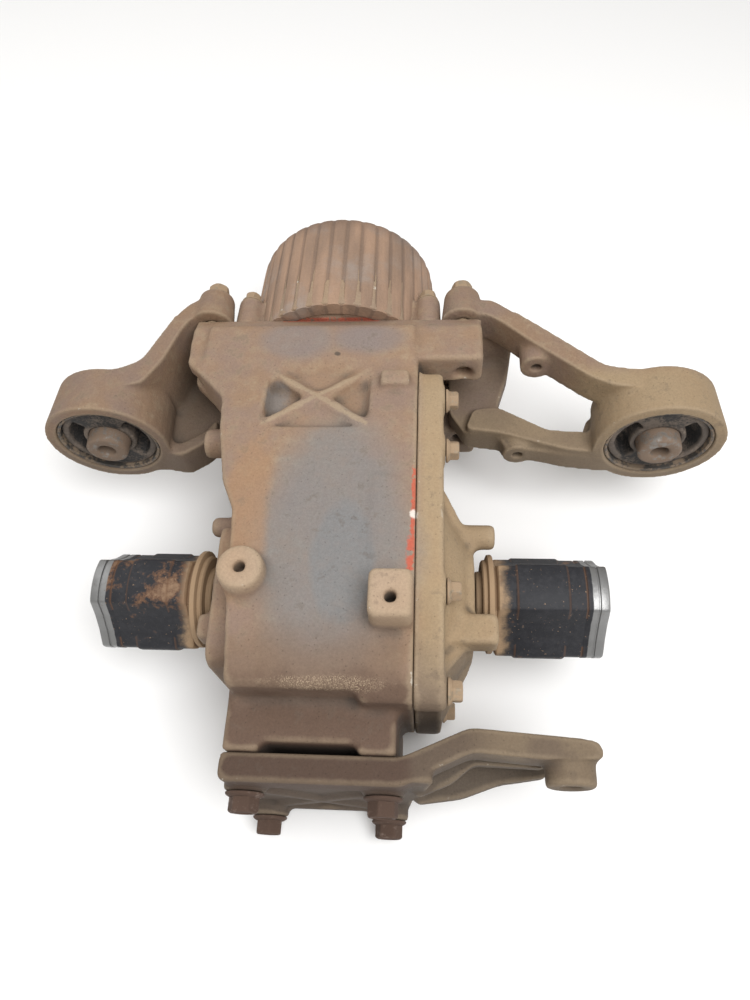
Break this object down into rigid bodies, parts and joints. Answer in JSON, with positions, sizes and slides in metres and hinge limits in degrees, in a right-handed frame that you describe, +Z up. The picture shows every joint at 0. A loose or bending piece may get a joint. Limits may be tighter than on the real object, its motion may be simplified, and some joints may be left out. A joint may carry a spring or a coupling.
{
  "type": "differential gear assembly",
  "caption": "Final-drive differential with bolted side cover, ribbed coupling case, rubber-bushed support arms, rear bracket and open inner joint housings.",
  "frame": {"origin": "middle of the underside, at the centre of the overall box in plan", "axes": "+X along the axle towards the side cover, +Y along the pinion towards the input flange, +Z up"},
  "size_m": [0.552, 0.5268, 0.207],
  "materials": {
    "cast_aluminium": "sand-cast, oxidised, with a film of tan road dust",
    "bracket_casting": "cast, dark reddish-brown film, tan where it wore off",
    "bolt_steel": "yellow-passivated hexagon flange bolts, dusty",
    "bracket_bolt_steel": "brown, lightly rusted",
    "joint_paint": "blue-black paint, chipped to rust and dust, bare steel end ring",
    "sleeve_steel": "dull steel with grease film",
    "dark_steel": "oiled dark steel",
    "bright_steel": "machined, oiled",
    "rubber": "natural rubber, dusty",
    "socket_plastic": "moulded plug socket"
  },
  "bodies": {
    "housing": {"carrier_housing": "cast_aluminium", "side_cover": "cast_aluminium", "coupling_case": "cast_aluminium", "left_support_arm": "cast_aluminium", "right_support_arm": "cast_aluminium", "rear_bracket": "bracket_casting", "left_bush_outer_sleeve": "dark_steel", "left_bush_rubber": "rubber", "left_bush_inner_sleeve": "sleeve_steel", "right_bush_outer_sleeve": "dark_steel", "right_bush_rubber": "rubber", "right_bush_inner_sleeve": "sleeve_steel", "cover_bolt_1": "bolt_steel", "cover_bolt_2": "bolt_steel", "cover_bolt_3": "bolt_steel", "cover_bolt_4": "bolt_steel", "cover_bolt_5": "bolt_steel", "cover_bolt_6": "bolt_steel", "bracket_bolt_1": "bracket_bolt_steel", "bracket_bolt_2": "bracket_bolt_steel", "bracket_bolt_3": "bracket_bolt_steel", "bracket_bolt_4": "bracket_bolt_steel", "left_arm_upper_bolt": "bolt_steel", "left_arm_lower_bolt": "bolt_steel", "right_arm_upper_bolt": "bolt_steel", "right_arm_lower_bolt": "bolt_steel", "case_bolt_1": "bolt_steel", "case_bolt_2": "bolt_steel", "case_bolt_3": "bolt_steel", "case_bolt_4": "bolt_steel", "left_output_seal": "rubber", "right_output_seal": "rubber", "input_seal": "rubber", "filler_plug": "dark_steel", "drain_plug": "dark_steel", "rear_pinion_bearing_cup": "bright_steel", "front_pinion_bearing_cup": "bright_steel", "left_case_bearing_cup": "bright_steel", "right_case_bearing_cup": "bright_steel", "magnet_coil": "dark_steel", "coil_socket": "socket_plastic"},
    "ring_and_case": {"differential_case": "dark_steel", "ring_gear": "bright_steel", "cross_shaft": "bright_steel", "left_case_bearing_cone": "bright_steel", "right_case_bearing_cone": "bright_steel"},
    "pinion": {"drive_pinion": "bright_steel", "rear_pinion_bearing_cone": "bright_steel", "front_pinion_bearing_cone": "bright_steel", "clutch_pack": "dark_steel"},
    "input": {"coupling_drum": "dark_steel", "companion_flange": "dark_steel", "flange_nut": "bolt_steel"},
    "left_output": {"left_joint_housing": "joint_paint", "left_side_gear": "bright_steel"},
    "right_output": {"right_joint_housing": "joint_paint", "right_side_gear": "bright_steel"},
    "upper_spider": {"upper_spider_gear": "bright_steel"},
    "lower_spider": {"lower_spider_gear": "bright_steel"}
  },
  "joints": [
    {"name": "ring_gear_spin", "type": "hinge", "parent": "housing", "child": "ring_and_case", "pos_m": [-0.036, -0.10455, 0.095], "axis": [1, 0, 0], "continuous": true},
    {"name": "pinion_spin", "type": "hinge", "parent": "housing", "child": "pinion", "pos_m": [-0.036, 0.01545, 0.095], "axis": [0, 1, 0], "continuous": true},
    {"name": "input_spin", "type": "hinge", "parent": "housing", "child": "input", "pos_m": [-0.036, 0.22545, 0.095], "axis": [0, 1, 0], "continuous": true},
    {"name": "left_output_spin", "type": "hinge", "parent": "ring_and_case", "child": "left_output", "pos_m": [-0.096, -0.10455, 0.095], "axis": [1, 0, 0], "continuous": true},
    {"name": "right_output_spin", "type": "hinge", "parent": "ring_and_case", "child": "right_output", "pos_m": [0.024, -0.10455, 0.095], "axis": [1, 0, 0], "continuous": true},
    {"name": "upper_spider_spin", "type": "hinge", "parent": "ring_and_case", "child": "upper_spider", "pos_m": [-0.036, -0.10455, 0.115], "axis": [0, 0, 1], "continuous": true},
    {"name": "lower_spider_spin", "type": "hinge", "parent": "ring_and_case", "child": "lower_spider", "pos_m": [-0.036, -0.10455, 0.075], "axis": [0, 0, 1], "continuous": true}
  ],
  "couplings": [
    {"joint": "pinion_spin", "follows": "ring_gear_spin", "ratio": -3.0833},
    {"joint": "right_output_spin", "follows": "left_output_spin", "ratio": -1},
    {"joint": "upper_spider_spin", "follows": "left_output_spin", "ratio": 1.6},
    {"joint": "lower_spider_spin", "follows": "left_output_spin", "ratio": -1.6}
  ]
}
